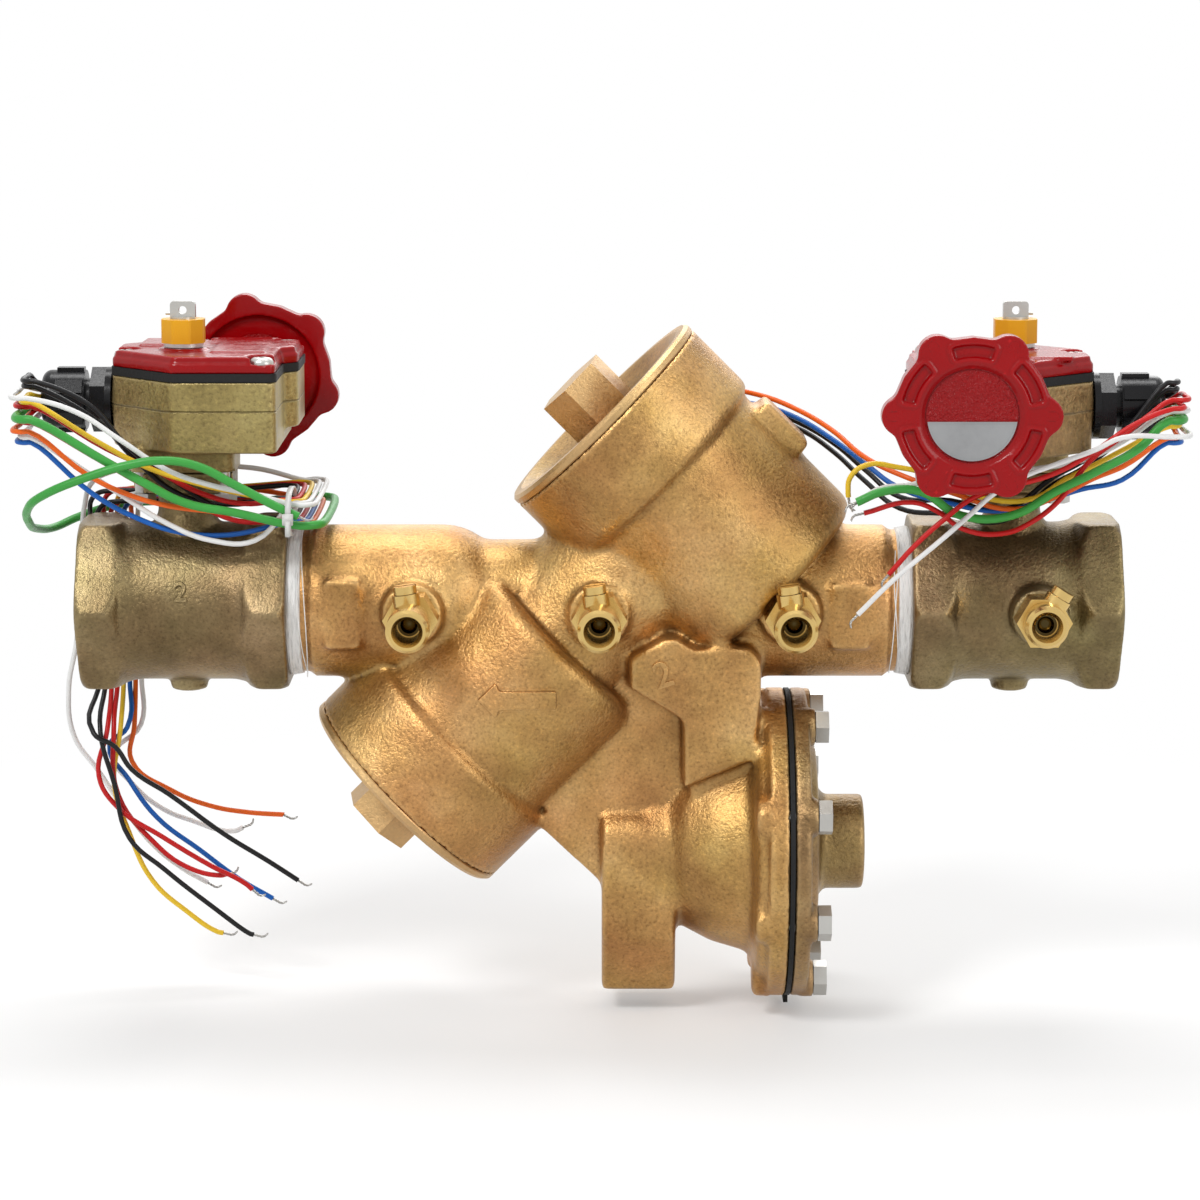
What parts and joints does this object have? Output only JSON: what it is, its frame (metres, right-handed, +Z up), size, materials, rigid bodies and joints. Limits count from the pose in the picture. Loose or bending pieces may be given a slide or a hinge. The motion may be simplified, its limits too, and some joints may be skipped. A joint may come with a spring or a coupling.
{
  "type": "reduced pressure backflow preventer",
  "caption": "Bronze reduced pressure backflow preventer with angled check chambers, relief valve, gear-operated shut-off valves, test cocks and switch wires.",
  "frame": {"origin": "centre of the inlet port's end face, on the pipe axis", "axes": "+X out of the inlet port along the pipe, +Z up towards the gear boxes, +Y away from the test cocks"},
  "size_m": [0.489, 0.1622, 0.3024],
  "materials": {
    "body_bronze": "rough sand-cast bronze, warm golden brown",
    "cover_bronze": "cast bronze with a machined rim",
    "relief_bronze": "greyer sand-cast bronze",
    "valve_bronze": "darker olive-brown cast bronze",
    "gear_bronze": "olive-gold cast bronze",
    "red_enamel": "glossy red enamel over cast metal",
    "yellow_brass": "machined yellow brass",
    "black_rubber": "black rubber",
    "black_nylon": "black moulded nylon",
    "grey_plastic": "dark grey moulded plastic",
    "yellow_plastic": "yellow moulded plastic",
    "white_tape": "white thread-seal tape",
    "plated_steel": "zinc-plated steel",
    "wire_black": "black wire insulation",
    "wire_red": "red wire insulation",
    "wire_white": "white wire insulation",
    "wire_orange": "orange wire insulation",
    "wire_blue": "blue wire insulation",
    "wire_yellow": "yellow wire insulation",
    "wire_green": "green wire insulation"
  },
  "bodies": {
    "body": {"main_body": "body_bronze", "check1_cover": "cover_bronze", "check2_cover": "cover_bronze", "check_cover_orings": "black_rubber", "check_seats": "yellow_brass", "check1_spring": "plated_steel", "check2_spring": "plated_steel", "relief_cover": "relief_bronze", "relief_cover_bolts": "plated_steel", "relief_diaphragm": "black_rubber", "relief_seat": "yellow_brass", "relief_spring": "plated_steel", "thread_tape": "white_tape", "inlet_valve_body": "valve_bronze", "outlet_valve_body": "valve_bronze", "valve_seats": "black_rubber", "inlet_gear_housing": "gear_bronze", "outlet_gear_housing": "gear_bronze", "inlet_gear_cover": "red_enamel", "outlet_gear_cover": "red_enamel", "gear_cover_gaskets": "black_rubber", "gear_cover_screws": "plated_steel", "gear_mounting_bolts": "plated_steel", "cable_gland_bodies": "black_nylon", "cable_gland_nuts": "black_nylon", "tamper_switches": "black_nylon", "test_cock_bodies": "yellow_brass", "inlet_wires_black": "wire_black", "inlet_wires_red": "wire_red", "inlet_wires_white": "wire_white", "inlet_wire_orange": "wire_orange", "inlet_wire_blue": "wire_blue", "inlet_wire_yellow": "wire_yellow", "inlet_wire_green": "wire_green", "outlet_wires_black": "wire_black", "outlet_wires_red": "wire_red", "outlet_wires_white": "wire_white", "outlet_wire_orange": "wire_orange", "outlet_wire_blue": "wire_blue", "outlet_wire_yellow": "wire_yellow", "outlet_wire_green": "wire_green"},
    "inlet_valve_turn": {"inlet_disc": "plated_steel", "inlet_stem": "plated_steel", "inlet_worm_gear": "yellow_brass", "inlet_indicator": "yellow_plastic"},
    "outlet_valve_turn": {"outlet_disc": "plated_steel", "outlet_stem": "plated_steel", "outlet_worm_gear": "yellow_brass", "outlet_indicator": "yellow_plastic"},
    "inlet_wheel": {"inlet_worm_shaft": "plated_steel", "inlet_handwheel": "red_enamel"},
    "outlet_wheel": {"outlet_worm_shaft": "plated_steel", "outlet_handwheel": "red_enamel"},
    "check1_poppet": {"check1_poppet": "grey_plastic"},
    "check2_poppet": {"check2_poppet": "grey_plastic"},
    "relief_stem": {"relief_stem": "plated_steel"},
    "test_cock_1": {"test_cock_stem_1": "yellow_brass"},
    "test_cock_2": {"test_cock_stem_2": "yellow_brass"},
    "test_cock_3": {"test_cock_stem_3": "yellow_brass"},
    "test_cock_4": {"test_cock_stem_4": "yellow_brass"}
  },
  "joints": [
    {"name": "inlet_wheel_turn", "type": "hinge", "parent": "body", "child": "inlet_wheel", "pos_m": [-0.069, -0.05, 0.088], "axis": [0, 1, 0], "range_deg": [0, 3240]},
    {"name": "outlet_wheel_turn", "type": "hinge", "parent": "body", "child": "outlet_wheel", "pos_m": [-0.369, 0.05, 0.088], "axis": [0, -1, 0], "range_deg": [0, 3240]},
    {"name": "inlet_valve_turn", "type": "hinge", "parent": "body", "child": "inlet_valve_turn", "pos_m": [-0.044, 0, 0.05], "axis": [0, 0, 1], "range_deg": [0, 90]},
    {"name": "outlet_valve_turn", "type": "hinge", "parent": "body", "child": "outlet_valve_turn", "pos_m": [-0.394, 0, 0.05], "axis": [0, 0, 1], "range_deg": [0, 90]},
    {"name": "check1_lift", "type": "slide", "parent": "body", "child": "check1_poppet", "axis": [-0.7071, 0, 0.7071], "range_m": [0, 0.014], "stiffness_N_per_m": 1500, "springref_m": -0.02, "deforming": ["check1_spring"]},
    {"name": "check2_lift", "type": "slide", "parent": "body", "child": "check2_poppet", "axis": [-0.7071, 0, -0.7071], "range_m": [0, 0.014], "stiffness_N_per_m": 1500, "springref_m": -0.02, "deforming": ["check2_spring"]},
    {"name": "relief_close", "type": "slide", "parent": "body", "child": "relief_stem", "axis": [-1, 0, 0], "range_m": [0, 0.008], "stiffness_N_per_m": 1500, "springref_m": -0.02, "deforming": ["relief_spring", "relief_diaphragm"]},
    {"name": "test_cock_1_turn", "type": "hinge", "parent": "body", "child": "test_cock_1", "pos_m": [-0.036, -0.0546, 0], "axis": [0.5299, 0, 0.848], "range_deg": [0, 90]},
    {"name": "test_cock_2_turn", "type": "hinge", "parent": "body", "child": "test_cock_2", "pos_m": [-0.139, -0.0554, 0], "axis": [-0.1392, 0, 0.9903], "range_deg": [0, 90]},
    {"name": "test_cock_3_turn", "type": "hinge", "parent": "body", "child": "test_cock_3", "pos_m": [-0.219, -0.0554, 0], "axis": [-0.1392, 0, 0.9903], "range_deg": [0, 90]},
    {"name": "test_cock_4_turn", "type": "hinge", "parent": "body", "child": "test_cock_4", "pos_m": [-0.297, -0.0554, 0], "axis": [-0.1392, 0, 0.9903], "range_deg": [0, 90]}
  ],
  "couplings": [
    {"joint": "inlet_valve_turn", "follows": "inlet_wheel_turn", "ratio": 0.027778},
    {"joint": "outlet_valve_turn", "follows": "outlet_wheel_turn", "ratio": 0.027778}
  ]
}
